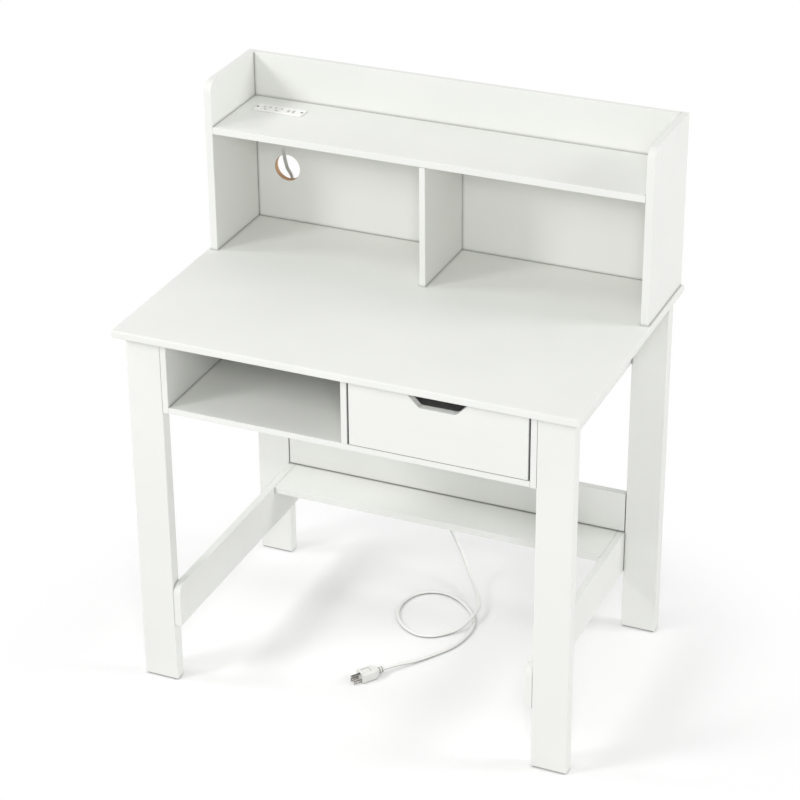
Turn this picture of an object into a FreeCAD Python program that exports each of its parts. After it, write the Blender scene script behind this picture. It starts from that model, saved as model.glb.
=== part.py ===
import FreeCAD, Part
import math
import os
from enum import IntEnum

import Sketcher
from FreeCAD import Vector

# A white student desk with a hutch: a desktop on four flat legs, a box with an open bay and one drawer
# under it, lower rails with a foot board, and a hutch whose shelf holds a power strip with its cord.
# Frame: millimetres, X to the right, Y to the back, Z up, origin on the floor under the desktop's middle.

SIZES = {
    # desktop
    "desk_width": 900,
    "desk_depth": 582,
    "desk_height": 755,
    "top_thick": 15,
    "top_ease": 3,
    # legs and their glides
    "leg_width": 70,
    "leg_depth": 25,
    "leg_end_inset": 14,
    "leg_front_inset": 25,
    "leg_rear_inset": 16,
    "leg_ease": 2,
    "glide_thick": 3,
    "glide_margin": 3,
    "glide_pin_diameter": 5,
    "glide_pin_length": 14,
    # box under the desktop
    "panel_thick": 12,
    "box_height": 137,
    "box_depth": 420,
    "box_floor_thick": 12,
    "divider_thick": 12,
    "box_back_thick": 5,
    "board_ease": 1.2,
    # lower rails, foot board and back board
    "rail_thick": 15,
    "rail_height": 88,
    "rail_top": 217,
    "rail_nose_radius": 18,
    "foot_depth": 116,
    "foot_thick": 15,
    "back_board_height": 85,
    "back_board_thick": 15,
    "back_board_setback": 1,
    "back_board_gap": 1.5,
    # hutch
    "hutch_inset": 6,
    "hutch_depth": 196,
    "hutch_height": 343,
    "hutch_side_thick": 15,
    "hutch_nose_radius": 20,
    "hutch_back_thick": 12,
    "hutch_divider_thick": 12,
    "shelf_clear_height": 240.5,
    "shelf_thick": 14,
    "cable_hole_diameter": 54,
    "cable_hole_from_side": 65.5,
    "cable_hole_height": 112,
    # drawer
    "drawer_side_gap": 3.5,
    "drawer_top_gap": 3,
    "drawer_low_gap": 0.8,
    "drawer_front_thick": 15,
    "drawer_side_thick": 12,
    "drawer_side_height": 100,
    "drawer_rear_gap": 25,
    "drawer_rise": 9,
    "drawer_bottom_thick": 4,
    "drawer_bottom_rise": 10,
    "groove_depth": 6,
    "groove_gap": 0.3,
    "pull_low_width": 71,
    "pull_top_width": 133,
    "pull_depth": 32,
    "pull_corner_radius": 9,
    # roller runners
    "runner_space": 12.5,
    "runner_sheet": 1.2,
    "runner_shortfall": 30,
    "runner_setback": 20,
    "channel_height": 30,
    "channel_flange": 9,
    "channel_low_gap": 2,
    "angle_height": 20,
    "angle_wing": 7.5,
    "angle_foot": 11,
    "roller_diameter": 14,
    "roller_width": 6,
    "roller_gap": 0.3,
    "roller_end_inset": 14,
    "axle_diameter": 5,
    "axle_head_diameter": 8,
    "axle_head_thick": 0.8,
    "axle_fit": 0.2,
    # power strip in the shelf
    "strip_from_side": 81,
    "strip_from_back": 58,
    "plate_length": 102,
    "plate_width": 31,
    "plate_thick": 2.5,
    "plate_corner_radius": 3,
    "plate_ease": 0.8,
    "housing_length": 84,
    "housing_width": 25,
    "housing_depth": 36,
    "housing_wall": 2,
    "strip_gap": 0.3,
    "outlet_count": 2,
    "outlet_first_offset": -28,
    "outlet_pitch": 24,
    "outlet_base": 20,
    "outlet_face_width": 17,
    "outlet_face_length": 19,
    "outlet_slot_offset": 4.9,
    "outlet_block_depth": 13,
    "blade_slot_length": 7.5,
    "blade_slot_width": 2,
    "earth_slot_diameter": 4.6,
    "slot_depth": 9,
    "usb_count": 2,
    "usb_first_offset": 19,
    "usb_pitch": 10.5,
    "usb_base_width": 8.4,
    "usb_base_length": 16,
    "usb_face_width": 6.6,
    "usb_face_length": 14,
    "usb_mouth_width": 4.8,
    "usb_mouth_length": 12.4,
    "plate_screw_inset": 4.5,
    "gland_flange_diameter": 16,
    "gland_flange_thick": 3,
    "gland_length": 20,
    "gland_low_diameter": 8.6,
    "gland_top_diameter": 10.4,
    "gland_offset": 5,
    # cord and plug
    "cord_diameter": 7,
    "relief_length": 14,
    "relief_diameter": 15,
    "relief_ring_count": 2,
    "relief_ring_depth": 1.5,
    "plug_length": 38,
    "plug_width": 26,
    "plug_height": 21,
    "plug_tail_width": 17,
    "plug_tail_length": 9,
    "plug_round": 3,
    "grip_length": 18,
    "grip_width": 14,
    "grip_depth": 0.9,
    "blade_length": 17,
    "blade_width": 6.4,
    "blade_thick": 1.6,
    "blade_pitch": 12.7,
    "blade_drop": 5.6,
    "blade_hole_diameter": 3.2,
    "blade_hole_inset": 4.5,
    "pin_diameter": 4.8,
    "pin_length": 20,
    "pin_chamfer": 1.2,
    "pin_offset": 11.9,
    # fasteners and fits
    "dowel_diameter": 6,
    "dowel_long_bite": 20,
    "dowel_short_bite": 9,
    "dowel_chamfer": 0.6,
    "cam_diameter": 15,
    "cam_depth": 9.5,
    "cam_reach": 24,
    "cam_slot_width": 2,
    "cam_slot_depth": 2,
    "bolt_diameter": 6,
    "bolt_neck_diameter": 4,
    "bolt_head_length": 3,
    "bolt_neck_length": 4,
    "bolt_bite": 10,
    "screw_diameter": 4,
    "screw_head_diameter": 8,
    "screw_head_height": 3,
    "screw_length": 42,
    "small_screw_diameter": 2.6,
    "small_head_diameter": 5.6,
    "small_head_height": 1.4,
    "small_screw_length": 10,
    "nail_diameter": 1.6,
    "nail_head_diameter": 3.6,
    "nail_head_height": 0.8,
    "nail_length": 22,
    "fastener_fit": 0.2,
    "end_gap": 0.5,
    "cut_overrun": 1,
}

# Shares of a length at which fasteners stand along it.
PAIR_SHARES = (0.2, 0.8)
INNER_PAIR_SHARES = (0.35, 0.65)
TRIPLE_SHARES = (0.12, 0.5, 0.88)
MIDDLE_SHARE = 0.5
CHANNEL_SCREW_SHARE = 0.7

# Shares of a screw's head that its cross recess takes.
RECESS_LENGTH_SHARE = 0.6
RECESS_WIDTH_SHARE = 0.16
RECESS_DEPTH_SHARE = 0.6

NEAR_ZERO = 1e-6

# The cord's route: from the gland through the cable hole, down behind the desk, round a loop on the floor.
CORD_ROUTE = [
    (-343, 221, 953.5), (-343, 221, 927), (-350, 243, 895), (-358, 268, 869), (-363, 291, 851),
    (-364, 308, 825), (-355, 314, 776), (-319, 316, 700), (-283, 317, 611), (-245, 317, 524),
    (-206, 316, 438), (-165, 314, 354), (-121, 311, 271), (-75, 306, 190), (-21, 300, 106),
    (9, 290, 56), (29, 273, 31), (62, 230, 19), (81, 197, 17), (88, 173, 16.5),
    (87, 137, 16), (77, 106, 8), (57, 84, 3.5), (32, 61, 3.5), (0, 56, 3.5),
    (-36, 74, 3.5), (-63, 107, 3.5), (-73, 143, 3.5), (-66, 185, 3.5), (-42, 214, 3.5),
    (-4, 224, 3.5), (36, 208, 3.5), (65, 183, 3.5), (84, 160, 3.5), (95, 131, 3.5),
    (97, 92, 3.5), (87, 45, 3.5), (63, 6, 3.5), (37, -34, 5), (8, -68, 10.5),
    (-7.8, -90.2, 10.5),
]
CORD_DROP_RUN_COUNT = 14
# Points of the cord fewer than this apart belong to one stretch of it.
NEAR_POINT_COUNT = 24
ARC_SHARE = 0.45

RIGHT = Vector(1, 0, 0)
BACK = Vector(0, 1, 0)
UP = Vector(0, 0, 1)

doc = FreeCAD.newDocument("student_desk")
sheet = doc.addObject("Spreadsheet::Sheet", "sizes")
for row, (alias, amount) in enumerate(SIZES.items(), start=1):
    sheet.set(f"A{row}", alias)
    sheet.set(f"B{row}", str(amount))
    sheet.setAlias(f"B{row}", alias)
doc.recompute()

nodes = {}
cuts = {}
groups = {}


def size(alias):
    """Reads one driving dimension from the sheet."""
    return float(sheet.get(alias))


def value(expression):
    """Works out an expression over the sheet."""
    return float(sheet.evalExpression(expression))


# Places that several pieces share, as expressions over the sheet.
HALF_WIDTH = "(sizes.desk_width / 2)"
HALF_DEPTH = "(sizes.desk_depth / 2)"
TOP_UNDER = "(sizes.desk_height - sizes.top_thick)"
LEG_OUTER = f"({HALF_WIDTH} - sizes.leg_end_inset)"
LEG_INNER = f"({LEG_OUTER} - sizes.leg_width)"
LEG_FRONT = f"(sizes.leg_front_inset - {HALF_DEPTH})"
LEG_REAR = f"({HALF_DEPTH} - sizes.leg_rear_inset)"
REAR_LEG_FRONT = f"({LEG_REAR} - sizes.leg_depth)"
SIDE_LENGTH = f"({LEG_REAR} - {LEG_FRONT})"
BOX_INNER = f"({LEG_INNER} - sizes.panel_thick)"
RAIL_INNER = f"({LEG_INNER} - sizes.rail_thick)"
BOX_FLOOR = f"({TOP_UNDER} - sizes.box_height)"
BOX_LOW = f"({BOX_FLOOR} - sizes.box_floor_thick)"
BOX_REAR = f"({LEG_FRONT} + sizes.box_depth)"
BACK_BOARD_FRONT = f"({REAR_LEG_FRONT} + sizes.back_board_setback)"
BACK_BOARD_REAR = f"({BACK_BOARD_FRONT} + sizes.back_board_thick)"
BACK_BOARD_LOW = "(sizes.rail_top + sizes.back_board_gap)"
HUTCH_OUTER = f"({HALF_WIDTH} - sizes.hutch_inset)"
HUTCH_INNER = f"({HUTCH_OUTER} - sizes.hutch_side_thick)"
HUTCH_FRONT = f"({HALF_DEPTH} - sizes.hutch_depth)"
HUTCH_BACK_FRONT = f"({HALF_DEPTH} - sizes.hutch_back_thick)"
SHELF_UNDER = "(sizes.desk_height + sizes.shelf_clear_height)"
SHELF_TOP = f"({SHELF_UNDER} + sizes.shelf_thick)"
BAY_LEFT = "(sizes.divider_thick / 2)"
BAY_MIDDLE = f"(({BAY_LEFT} + {BOX_INNER}) / 2)"
FRONT_WIDTH = f"({BOX_INNER} - {BAY_LEFT} - 2 * sizes.drawer_side_gap)"
FRONT_LOW = f"({BOX_FLOOR} + sizes.drawer_low_gap)"
FRONT_HEIGHT = "(sizes.box_height - sizes.drawer_top_gap - sizes.drawer_low_gap)"
FRONT_REAR = f"({LEG_FRONT} + sizes.drawer_front_thick)"
DRAWER_HALF = f"(({BOX_INNER} - {BAY_LEFT}) / 2 - sizes.runner_space)"
DRAWER_INNER_HALF = f"({DRAWER_HALF} - sizes.drawer_side_thick)"
DRAWER_LOW = f"({BOX_FLOOR} + sizes.drawer_rise)"
DRAWER_LENGTH = "(sizes.box_depth - sizes.drawer_front_thick - sizes.drawer_rear_gap)"
DRAWER_REAR = f"({FRONT_REAR} + {DRAWER_LENGTH})"
RUNNER_LENGTH = f"({DRAWER_LENGTH} - sizes.runner_shortfall)"
STRIP_X = f"(sizes.strip_from_side - {HUTCH_INNER})"
STRIP_Y = f"({HUTCH_BACK_FRONT} - sizes.strip_from_back)"
GLAND_X = f"({STRIP_X} + sizes.gland_offset)"


class SketchId(IntEnum):
    """How a sketch numbers a line's two ends and its own two axes."""

    START = 1
    END = 2
    ACROSS_AXIS = -1
    UP_AXIS = -2


PLANE_ROLES = {"XY": "XY_Plane", "XZ": "XZ_Plane", "YZ": "YZ_Plane"}


def rectangle(width, height):
    """Gives the four corners of a plain board's outline."""
    return [("0", "0"), (width, "0"), (width, height), ("0", height)]


def is_along(edge, axis):
    """Says whether an edge is straight and runs along an axis."""
    if edge.Curve.TypeId != "Part::GeomLine":
        return False
    return edge.tangentAt(edge.FirstParameter).cross(axis).Length < NEAR_ZERO


def along(axis):
    """Picks every straight edge along an axis."""
    def pick(edge, box):
        return is_along(edge, axis)
    return pick


def rim(axis):
    """Picks the edges round the two broad faces that face along an axis."""
    def pick(edge, box):
        faces = (box.Center.dot(axis) - half_span(box, axis), box.Center.dot(axis) + half_span(box, axis))
        return any(all(abs(v.Point.dot(axis) - face) < NEAR_ZERO for v in edge.Vertexes) for face in faces)
    return pick


def half_span(box, axis):
    """Gives half a box's length along one of its axes."""
    return Vector(box.XLength, box.YLength, box.ZLength).dot(axis) / 2


def front_nose(edge, box):
    """Picks the edge across a board's front upper corner."""
    if not is_along(edge, RIGHT):
        return False
    middle = edge.CenterOfMass
    return abs(middle.y - box.YMin) < NEAR_ZERO and abs(middle.z - box.ZMax) < NEAR_ZERO


def upper_rim(edge, box):
    """Picks the edges round a plate's top."""
    return all(abs(v.Point.z - box.ZMax) < NEAR_ZERO for v in edge.Vertexes)


def pull_corners(edge, box):
    """Picks the two lower corners of the finger pull."""
    low = box.ZMax - size("pull_depth")
    return is_along(edge, BACK) and abs(edge.CenterOfMass.z - low) < NEAR_ZERO


def hold_point(sketch, index, kind, expression, zero_axis):
    """Holds one coordinate of a corner of a sketch, on an axis or at a distance bound to the sheet."""
    if expression == "0":
        sketch.addConstraint(Sketcher.Constraint("PointOnObject", index, SketchId.START, zero_axis))
        return
    origin = (SketchId.ACROSS_AXIS, SketchId.START)
    number = sketch.addConstraint(Sketcher.Constraint(kind, *origin, index, SketchId.START, value(expression)))
    sketch.setExpression(f"Constraints[{number}]", expression)


def place(piece, corner):
    """Binds a piece's place to the sheet."""
    for letter, expression in zip("xyz", corner):
        piece.setExpression(f"Placement.Base.{letter}", expression)


def panel(label, plane, outline, thick, corner, rounds=()):
    """Pads an outline to a board, rounds its edges and puts its lowest corner in place."""
    body = doc.addObject("PartDesign::Body", f"{label}_body")
    support = next(f for f in body.Origin.OriginFeatures if f.Role == PLANE_ROLES[plane])
    sketch = body.newObject("Sketcher::SketchObject", f"{label}_outline")
    sketch.AttachmentSupport = [(support, "")]
    sketch.MapMode = "FlatFace"
    points = [Vector(value(across), value(up), 0) for across, up in outline]
    for start, end in zip(points, points[1:] + points[:1]):
        sketch.addGeometry(Part.LineSegment(start, end), False)
    order = list(range(len(points)))
    for index, following in zip(order, order[1:] + order[:1]):
        ends = (index, SketchId.END, following, SketchId.START)
        sketch.addConstraint(Sketcher.Constraint("Coincident", *ends))
    for index, (across, up) in enumerate(outline):
        hold_point(sketch, index, "DistanceX", across, SketchId.UP_AXIS)
        hold_point(sketch, index, "DistanceY", up, SketchId.ACROSS_AXIS)
    pad = body.newObject("PartDesign::Pad", f"{label}_pad")
    pad.Profile = sketch
    pad.Reversed = plane == "XZ"
    pad.setExpression("Length", thick)
    feature = pad
    for alias, pick in rounds:
        doc.recompute()
        box = feature.Shape.BoundBox
        names = [f"Edge{n}" for n, edge in enumerate(feature.Shape.Edges, start=1) if pick(edge, box)]
        fillet = body.newObject("PartDesign::Fillet", f"{label}_{alias}")
        fillet.Base = (feature, names)
        fillet.setExpression("Radius", f"sizes.{alias}")
        feature = fillet
    place(body, corner)
    nodes[label] = body


def rod(diameter, length, start, direction):
    """Makes a round bar."""
    return Part.makeCylinder(diameter / 2, length, start, direction)


def block(low, high):
    """Makes a box between two corners."""
    return Part.makeBox(high.x - low.x, high.y - low.y, high.z - low.z, low)


def block_about(middle, width, length, height):
    """Makes a box that stands on a point at the middle of its base."""
    return Part.makeBox(width, length, height, middle - Vector(width / 2, length / 2, 0))


def cut_from(label, shape):
    """Notes a shape that is cut out of a piece."""
    cuts.setdefault(label, []).append(shape)


def bore(label, diameter, depth, mouth, inward):
    """Notes a round hole that starts at its mouth, with an overrun outside."""
    overrun = size("cut_overrun")
    cut_from(label, rod(diameter, depth + overrun, mouth - inward * overrun, inward))


def slot(mouth, inward, along, length, width, depth):
    """Makes a straight slot about its mouth's middle, with an overrun outside."""
    overrun = size("cut_overrun")
    start = mouth - inward * overrun
    reach = along * (length / 2)
    side = inward.cross(along) * (width / 2)
    corners = [start + side + reach, start + side - reach, start - side - reach, start - side + reach]
    return Part.Face(Part.makePolygon(corners + corners[:1])).extrude(inward * (depth + overrun))


def add_to(label, solid):
    """Adds a solid to a group of like pieces."""
    groups.setdefault(label, []).append(solid)


def spots(low, high, shares):
    """Gives the places at shares of a length."""
    return [low + (high - low) * share for share in shares]


def dowel(group, board, mate, point, toward):
    """Sets a wooden dowel across a joint, deep in one board and shallow in its mate."""
    deep = size("dowel_long_bite")
    shallow = size("dowel_short_bite")
    hole = size("dowel_diameter") + size("fastener_fit")
    pin = rod(size("dowel_diameter"), deep + shallow, point - toward * deep, toward)
    rims = [edge for edge in pin.Edges if edge.Curve.TypeId == "Part::GeomCircle"]
    add_to(group, pin.makeChamfer(size("dowel_chamfer"), rims))
    bore(board, hole, deep + size("end_gap"), point, -toward)
    bore(mate, hole, shallow + size("end_gap"), point, toward)


def cam(prefix, board, mate, face_point, into, toward, thick):
    """Sets a cam lock in a board's face and its bolt through the board's edge into the mate."""
    fit = size("fastener_fit")
    reach = size("cam_reach")
    heart = face_point + into * (thick / 2)
    disc = rod(size("cam_diameter"), size("cam_depth"), face_point, into)
    disc = disc.cut(rod(size("bolt_diameter") + fit, reach, heart, toward))
    slot_length = size("cam_diameter") + 2 * size("cut_overrun")
    disc = disc.cut(slot(face_point, into, toward, slot_length, size("cam_slot_width"), size("cam_slot_depth")))
    add_to(f"{prefix}cam_locks", disc)
    head = size("bolt_head_length")
    neck = size("bolt_neck_length")
    start = heart + toward * size("end_gap")
    total = reach - size("end_gap") + size("bolt_bite")
    bolt = rod(size("bolt_diameter"), head, start, toward)
    bolt = bolt.fuse(rod(size("bolt_neck_diameter"), neck, start + toward * head, toward))
    bolt = bolt.fuse(rod(size("bolt_diameter"), total - head - neck, start + toward * (head + neck), toward))
    add_to(f"{prefix}cam_bolts", bolt)
    bore(board, size("cam_diameter") + fit, size("cam_depth") + fit, face_point, into)
    cut_from(board, rod(size("bolt_diameter") + fit, reach + size("cut_overrun"), heart, toward))
    mouth = heart + toward * reach
    bore(mate, size("bolt_diameter") + fit, size("bolt_bite") + size("end_gap"), mouth, toward)


WOOD_SCREW = ("screw_diameter", "screw_head_diameter", "screw_head_height", "screw_length")
SMALL_SCREW = ("small_screw_diameter", "small_head_diameter", "small_head_height", "small_screw_length")
NAIL = ("nail_diameter", "nail_head_diameter", "nail_head_height", "nail_length")


def screw(group, through, mate, start, direction, kind, sunk=True):
    """Drives a screw or nail through one piece into another, with its head sunk or on the surface."""
    fit = size("fastener_fit")
    shank, head, height, length = (size(alias) for alias in kind)
    tip = shank
    if sunk:
        top = start
        solid = Part.makeCone(head / 2, shank / 2, height, start, direction)
        seat = start + direction * height
        cut_from(through, Part.makeCone((head + fit) / 2, (shank + fit) / 2, height, start, direction))
    else:
        top = start - direction * height
        solid = rod(head, height, top, direction)
        seat = start
    straight = length - tip - (height if sunk else 0)
    solid = solid.fuse(rod(shank, straight, seat, direction))
    solid = solid.fuse(Part.makeCone(shank / 2, 0, tip, seat + direction * straight, direction))
    if kind is not NAIL:
        first = RIGHT if abs(direction.dot(RIGHT)) < NEAR_ZERO else UP
        for arm in (first, direction.cross(first)):
            solid = solid.cut(slot(top, direction, arm, RECESS_LENGTH_SHARE * head, RECESS_WIDTH_SHARE * head,
                                   RECESS_DEPTH_SHARE * height))
    add_to(group, solid)
    for piece in (through, mate):
        bore(piece, shank + fit, length + size("end_gap"), start, direction)


SIDES = (("left", -1), ("right", 1))


def side_corner(sign, near, thick):
    """Gives the X of a board's low corner, for a board that starts at a distance from the middle."""
    return near if sign > 0 else f"(-{near} - {thick})"


def make_desk():
    """Makes the desktop, legs, box boards and lower boards."""
    panel("desktop", "XY", rectangle("sizes.desk_width", "sizes.desk_depth"), "sizes.top_thick",
          (f"-{HALF_WIDTH}", f"-{HALF_DEPTH}", TOP_UNDER), [("top_ease", rim(UP))])
    for side, sign in SIDES:
        for end, front in (("front", LEG_FRONT), ("rear", REAR_LEG_FRONT)):
            panel(f"{end}_{side}_leg", "XY", rectangle("sizes.leg_width", "sizes.leg_depth"),
                  f"{TOP_UNDER} - sizes.glide_thick",
                  (side_corner(sign, LEG_INNER, "sizes.leg_width"), front, "sizes.glide_thick"),
                  [("leg_ease", along(UP))])
        board_x = side_corner(sign, BOX_INNER, "sizes.panel_thick")
        panel(f"{side}_side_panel", "YZ", rectangle(SIDE_LENGTH, "sizes.box_height + sizes.box_floor_thick"),
              "sizes.panel_thick", (board_x, LEG_FRONT, BOX_LOW), [("board_ease", rim(RIGHT))])
        rail_x = side_corner(sign, RAIL_INNER, "sizes.rail_thick")
        panel(f"{side}_rail", "YZ", rectangle(SIDE_LENGTH, "sizes.rail_height"), "sizes.rail_thick",
              (rail_x, LEG_FRONT, "sizes.rail_top - sizes.rail_height"),
              [("rail_nose_radius", front_nose), ("board_ease", rim(RIGHT))])
    panel("box_floor", "XY", rectangle(f"2 * {BOX_INNER}", "sizes.box_depth"), "sizes.box_floor_thick",
          (f"-{BOX_INNER}", LEG_FRONT, BOX_LOW), [("board_ease", rim(UP))])
    panel("centre_divider", "YZ", rectangle("sizes.box_depth", "sizes.box_height"), "sizes.divider_thick",
          (f"-{BAY_LEFT}", LEG_FRONT, BOX_FLOOR), [("board_ease", rim(RIGHT))])
    panel("box_back", "XZ", rectangle(f"2 * {BOX_INNER}", "sizes.box_height + sizes.box_floor_thick"),
          "sizes.box_back_thick", (f"-{BOX_INNER}", BOX_REAR, BOX_LOW))
    panel("foot_board", "XY", rectangle(f"2 * {RAIL_INNER}", "sizes.foot_depth"), "sizes.foot_thick",
          (f"-{RAIL_INNER}", f"{BACK_BOARD_REAR} - sizes.foot_depth", "sizes.rail_top - sizes.foot_thick"),
          [("board_ease", rim(UP))])
    board_end = f"({LEG_INNER} - sizes.back_board_gap)"
    panel("back_board", "XZ", rectangle(f"2 * {board_end}", "sizes.back_board_height"),
          "sizes.back_board_thick", (f"-{board_end}", BACK_BOARD_FRONT, BACK_BOARD_LOW),
          [("board_ease", rim(BACK))])


def make_hutch():
    """Makes the hutch's sides, shelf, back and divider, with the cable hole."""
    for side, sign in SIDES:
        panel(f"hutch_{side}_side", "YZ", rectangle("sizes.hutch_depth", "sizes.hutch_height"),
              "sizes.hutch_side_thick",
              (side_corner(sign, HUTCH_INNER, "sizes.hutch_side_thick"), HUTCH_FRONT, "sizes.desk_height"),
              [("hutch_nose_radius", front_nose), ("board_ease", rim(RIGHT))])
    inner_depth = "(sizes.hutch_depth - sizes.hutch_back_thick)"
    panel("hutch_shelf", "XY", rectangle(f"2 * {HUTCH_INNER}", inner_depth), "sizes.shelf_thick",
          (f"-{HUTCH_INNER}", HUTCH_FRONT, SHELF_UNDER), [("board_ease", rim(UP))])
    panel("hutch_back", "XZ", rectangle(f"2 * {HUTCH_INNER}", "sizes.hutch_height"),
          "sizes.hutch_back_thick", (f"-{HUTCH_INNER}", HUTCH_BACK_FRONT, "sizes.desk_height"),
          [("board_ease", rim(BACK))])
    panel("hutch_divider", "YZ", rectangle(inner_depth, "sizes.shelf_clear_height"),
          "sizes.hutch_divider_thick",
          ("-sizes.hutch_divider_thick / 2", HUTCH_FRONT, "sizes.desk_height"), [("board_ease", rim(RIGHT))])
    hole_x = size("cable_hole_from_side") - value(HUTCH_INNER)
    hole_z = size("desk_height") + size("cable_hole_height")
    mouth = Vector(hole_x, value(HUTCH_BACK_FRONT), hole_z)
    through = size("hutch_back_thick") + size("cut_overrun")
    bore("hutch_back", size("cable_hole_diameter"), through, mouth, BACK)


def make_drawer():
    """Makes the drawer's boards, with the finger pull and the groove for the bottom."""
    middle = f"{FRONT_WIDTH} / 2"
    low = f"{FRONT_HEIGHT} - sizes.pull_depth"
    outline = [
        ("0", "0"), (FRONT_WIDTH, "0"), (FRONT_WIDTH, FRONT_HEIGHT),
        (f"{middle} + sizes.pull_top_width / 2", FRONT_HEIGHT),
        (f"{middle} + sizes.pull_low_width / 2", low),
        (f"{middle} - sizes.pull_low_width / 2", low),
        (f"{middle} - sizes.pull_top_width / 2", FRONT_HEIGHT),
        ("0", FRONT_HEIGHT),
    ]
    panel("drawer_front", "XZ", outline, "sizes.drawer_front_thick",
          (f"{BAY_LEFT} + sizes.drawer_side_gap", LEG_FRONT, FRONT_LOW),
          [("pull_corner_radius", pull_corners), ("board_ease", rim(BACK))])
    left_x = f"{BAY_MIDDLE} - {DRAWER_HALF}"
    right_x = f"{BAY_MIDDLE} + {DRAWER_INNER_HALF}"
    for side, x in (("left", left_x), ("right", right_x)):
        panel(f"drawer_{side}_side", "YZ", rectangle(DRAWER_LENGTH, "sizes.drawer_side_height"),
              "sizes.drawer_side_thick", (x, FRONT_REAR, DRAWER_LOW), [("board_ease", rim(RIGHT))])
    panel("drawer_back", "XZ", rectangle(f"2 * {DRAWER_INNER_HALF}", "sizes.drawer_side_height"),
          "sizes.drawer_side_thick",
          (f"{BAY_MIDDLE} - {DRAWER_INNER_HALF}", f"{DRAWER_REAR} - sizes.drawer_side_thick", DRAWER_LOW),
          [("board_ease", rim(BACK))])
    tongue = "(sizes.groove_depth - sizes.groove_gap)"
    panel("drawer_bottom", "XY",
          rectangle(f"2 * ({DRAWER_INNER_HALF} + {tongue})",
                    f"{DRAWER_LENGTH} - sizes.drawer_side_thick + 2 * {tongue}"),
          "sizes.drawer_bottom_thick",
          (f"{BAY_MIDDLE} - {DRAWER_INNER_HALF} - {tongue}", f"{FRONT_REAR} - {tongue}",
           f"{DRAWER_LOW} + sizes.drawer_bottom_rise"))
    depth = size("groove_depth")
    half = value(DRAWER_INNER_HALF) + depth
    low_z = value(DRAWER_LOW) + size("drawer_bottom_rise")
    rear = value(DRAWER_REAR) - size("drawer_side_thick") + depth
    high_z = low_z + size("drawer_bottom_thick") + size("groove_gap")
    groove = block(Vector(value(BAY_MIDDLE) - half, value(FRONT_REAR) - depth, low_z),
                   Vector(value(BAY_MIDDLE) + half, rear, high_z))
    for label in ("drawer_front", "drawer_left_side", "drawer_right_side", "drawer_back"):
        cut_from(label, groove)


def make_runners():
    """Makes the runner channels on the cabinet and the runner angles on the drawer."""
    sheet_thick = "sizes.runner_sheet"
    flange = "sizes.channel_flange"
    tall = "sizes.channel_height"
    inner_top = f"{tall} - {sheet_thick}"
    open_right = [("0", "0"), (flange, "0"), (flange, sheet_thick), (sheet_thick, sheet_thick),
                  (sheet_thick, inner_top), (flange, inner_top), (flange, tall), ("0", tall)]
    web = f"{flange} - {sheet_thick}"
    open_left = [("0", "0"), (flange, "0"), (flange, tall), ("0", tall), ("0", inner_top),
                 (web, inner_top), (web, sheet_thick), ("0", sheet_thick)]
    channel_y = f"{LEG_FRONT} + sizes.runner_setback"
    channel_z = f"{BOX_FLOOR} + sizes.channel_low_gap"
    panel("left_runner_channel", "XZ", open_right, RUNNER_LENGTH, (BAY_LEFT, channel_y, channel_z))
    panel("right_runner_channel", "XZ", open_left, RUNNER_LENGTH,
          (f"{BOX_INNER} - {flange}", channel_y, channel_z))
    wing = "sizes.angle_wing"
    foot = "sizes.angle_foot"
    high = "sizes.angle_height"
    wing_under = f"{high} - {sheet_thick}"
    left_face = f"{wing} + {sheet_thick}"
    left_end = f"{left_face} + {foot}"
    left_outline = [(wing, "0"), (left_end, "0"), (left_end, sheet_thick), (left_face, sheet_thick),
                    (left_face, high), ("0", high), ("0", wing_under), (wing, wing_under)]
    right_face = f"{foot} + {sheet_thick}"
    right_end = f"{right_face} + {wing}"
    right_outline = [("0", "0"), (right_face, "0"), (right_face, wing_under), (right_end, wing_under),
                     (right_end, high), (foot, high), (foot, sheet_thick), ("0", sheet_thick)]
    angle_y = f"{FRONT_REAR} + sizes.end_gap"
    angle_z = f"{DRAWER_LOW} - {sheet_thick}"
    panel("left_runner_angle", "XZ", left_outline, RUNNER_LENGTH,
          (f"{BAY_MIDDLE} - {DRAWER_HALF} - {sheet_thick} - {wing}", angle_y, angle_z))
    panel("right_runner_angle", "XZ", right_outline, RUNNER_LENGTH,
          (f"{BAY_MIDDLE} + {DRAWER_HALF} - {foot}", angle_y, angle_z))


FRONT_ROLLER_Y = f"({LEG_FRONT} + sizes.runner_setback + sizes.roller_end_inset)"
FRONT_ROLLER_Z = (f"({DRAWER_LOW} - 2 * sizes.runner_sheet + sizes.angle_height - sizes.roller_gap"
                  " - sizes.roller_diameter / 2)")
REAR_ROLLER_Y = f"({FRONT_REAR} + sizes.end_gap + {RUNNER_LENGTH} - sizes.roller_end_inset)"
REAR_ROLLER_Z = (f"({BOX_FLOOR} + sizes.channel_low_gap + sizes.runner_sheet + sizes.roller_gap"
                 " + sizes.roller_diameter / 2)")
ROLLER_OFFSET = f"({DRAWER_HALF} + sizes.runner_space / 2)"


def make_roller(label, sign, y, z):
    """Makes one roller as a bored wheel that turns about X."""
    middle = f"{BAY_MIDDLE} + ({sign}) * {ROLLER_OFFSET}"
    parts = []
    for name, diameter, width in (("rim", "sizes.roller_diameter", "sizes.roller_width"),
                                  ("bore", "sizes.axle_diameter + sizes.axle_fit",
                                   "sizes.roller_width + 2 * sizes.cut_overrun")):
        drum = doc.addObject("Part::Cylinder", f"{label}_{name}")
        drum.setExpression("Radius", f"({diameter}) / 2")
        drum.setExpression("Height", width)
        drum.Placement.Rotation = FreeCAD.Rotation(UP, RIGHT)
        place(drum, (f"{middle} - ({width}) / 2", y, z))
        parts.append(drum)
    wheel = doc.addObject("Part::Cut", f"{label}_wheel")
    wheel.Base, wheel.Tool = parts
    nodes[label] = wheel


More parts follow.
